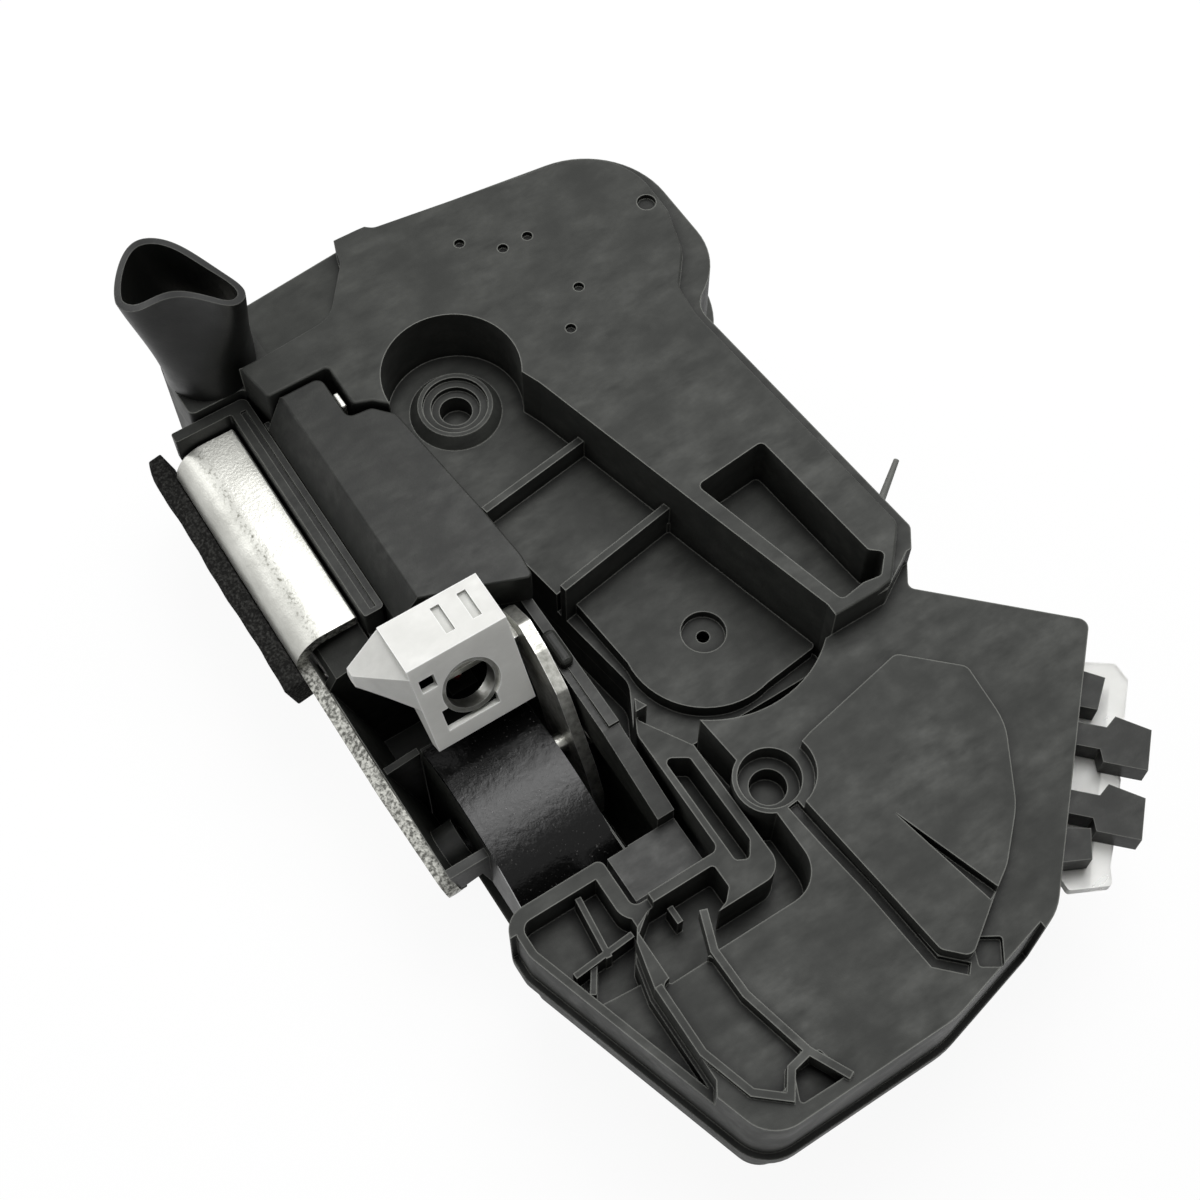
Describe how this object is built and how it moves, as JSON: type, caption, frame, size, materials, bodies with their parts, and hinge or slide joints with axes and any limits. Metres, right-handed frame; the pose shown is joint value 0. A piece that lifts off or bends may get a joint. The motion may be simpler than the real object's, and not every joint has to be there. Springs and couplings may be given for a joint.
{
  "type": "door latch actuator",
  "caption": "Car door latch with its lock actuator: leaning zinc latch plate, fork and pawl, release lever with rod clip, motor-driven lock lever, black casing and key funnel.",
  "frame": {"origin": "middle screw hole of the latch plate, on the plate's outer face", "axes": "+X along the latch plate away from the key funnel, +Y inboard from the plate, +Z out of the broad face of the casing"},
  "size_m": [0.2067, 0.14, 0.0836],
  "materials": {
    "casing_plastic": "fine mould texture, black",
    "latch_plastic": "smooth moulded, black",
    "funnel_plastic": "smooth soft black",
    "foam": "charcoal closed-cell foam",
    "zinc_plate": "bright zinc plated",
    "rivet_steel": "turned steel",
    "fork_steel": "pressed steel",
    "bumper_rubber": "moulded rubber",
    "ecoat_steel": "black dip coat",
    "lever_steel": "zinc plated, sheared edge",
    "spring_steel": "drawn wire",
    "white_acetal": "natural white acetal",
    "motor_can": "drawn can",
    "worm_steel": "cut steel",
    "gear_acetal": "natural acetal",
    "lever_nylon": "filled nylon",
    "screw_zinc": "zinc plated",
    "gasket_rubber": "smooth",
    "connector_plastic": "smooth",
    "terminal_brass": "tinned strip",
    "switch_plastic": "smooth",
    "plunger_acetal": "smooth",
    "key_acetal": "natural acetal",
    "hook_nylon": "moulded black",
    "link_nylon": "natural translucent nylon"
  },
  "bodies": {
    "housing": {"front_cover": "casing_plastic", "rear_housing": "casing_plastic", "latch_housing": "latch_plastic", "latch_lid": "latch_plastic", "seal_frame": "latch_plastic", "key_funnel": "funnel_plastic", "foam_seal": "foam", "latch_plate": "zinc_plate", "back_plate": "zinc_plate", "fork_pivot_pin": "rivet_steel", "pawl_pivot_pin": "rivet_steel", "mouth_bumper": "bumper_rubber", "steel_saddle": "ecoat_steel", "release_pivot_pin": "rivet_steel", "release_spring": "spring_steel", "fork_spring": "spring_steel", "pawl_spring": "spring_steel", "lock_motor": "motor_can", "wheel_axle": "rivet_steel", "lever_axle": "rivet_steel", "cover_screws": "screw_zinc", "housing_gasket": "gasket_rubber", "connector_socket": "connector_plastic", "terminal_pins": "terminal_brass", "lead_frame": "terminal_brass", "ajar_switch": "switch_plastic", "lock_switch": "switch_plastic", "snap_hooks": "hook_nylon", "tie_pin": "link_nylon"},
    "fork": {"forkbolt": "fork_steel"},
    "pawl": {"pawl": "fork_steel"},
    "release": {"release_lever": "lever_steel", "rod_clip": "white_acetal", "clip_ring": "rivet_steel"},
    "lock_lever": {"lock_lever": "lever_nylon"},
    "worm_wheel": {"worm_wheel": "gear_acetal"},
    "motor_worm": {"motor_worm": "worm_steel"},
    "key_coupling": {"key_coupling": "key_acetal"},
    "inside_link": {"inside_release_link": "link_nylon"},
    "ajar_plunger": {"ajar_switch_plunger": "plunger_acetal"},
    "lock_plunger": {"lock_switch_plunger": "plunger_acetal"}
  },
  "joints": [
    {"name": "fork_turn", "type": "hinge", "parent": "housing", "child": "fork", "pos_m": [-0.076, 0.00554, 0.00133], "axis": [0, -0.9724, -0.2334], "range_deg": [0, 48], "stiffness_Nm_per_rad": 0.05, "springref_deg": -17.19},
    {"name": "release_turn", "type": "hinge", "parent": "housing", "child": "release", "pos_m": [-0.004, 0.03425, 0.012], "axis": [0, 1, 0], "range_deg": [0, 14], "stiffness_Nm_per_rad": 0.08, "springref_deg": -17.19},
    {"name": "pawl_turn", "type": "hinge", "parent": "housing", "child": "pawl", "pos_m": [-0.0455, 0.00461, 0.00522], "axis": [0, 0.9724, 0.2334], "range_deg": [0, 8]},
    {"name": "lock_turn", "type": "hinge", "parent": "housing", "child": "lock_lever", "pos_m": [-0.0325, 0.07255, 0.006], "axis": [0, 0, 1], "range_deg": [-15, 15]},
    {"name": "wheel_turn", "type": "hinge", "parent": "housing", "child": "worm_wheel", "pos_m": [-0.062, 0.07255, 0.001], "axis": [0, 0, 1], "range_deg": [-73.5, 73.5]},
    {"name": "worm_turn", "type": "hinge", "parent": "housing", "child": "motor_worm", "pos_m": [-0.062, 0.092, 0.002], "axis": [1, 0, 0], "range_deg": [-441, 441]},
    {"name": "key_turn", "type": "hinge", "parent": "housing", "child": "key_coupling", "pos_m": [-0.108, 0.0125, 0.03], "axis": [0, 0, 1], "range_deg": [-45, 45]},
    {"name": "link_slide", "type": "slide", "parent": "housing", "child": "inside_link", "axis": [0.7071, -0.7071, 0], "range_m": [0, 0.006]},
    {"name": "ajar_press", "type": "slide", "parent": "housing", "child": "ajar_plunger", "axis": [0, 0, -1], "range_m": [0, 0.0012], "stiffness_N_per_m": 100, "springref_m": -0.001},
    {"name": "lock_press", "type": "slide", "parent": "housing", "child": "lock_plunger", "axis": [0, 0, -1], "range_m": [0, 0.0012], "stiffness_N_per_m": 100, "springref_m": -0.001}
  ],
  "couplings": [
    {"joint": "pawl_turn", "follows": "release_turn", "ratio": 0.57143},
    {"joint": "wheel_turn", "follows": "lock_turn", "ratio": -4.9},
    {"joint": "worm_turn", "follows": "lock_turn", "ratio": 29.4}
  ]
}
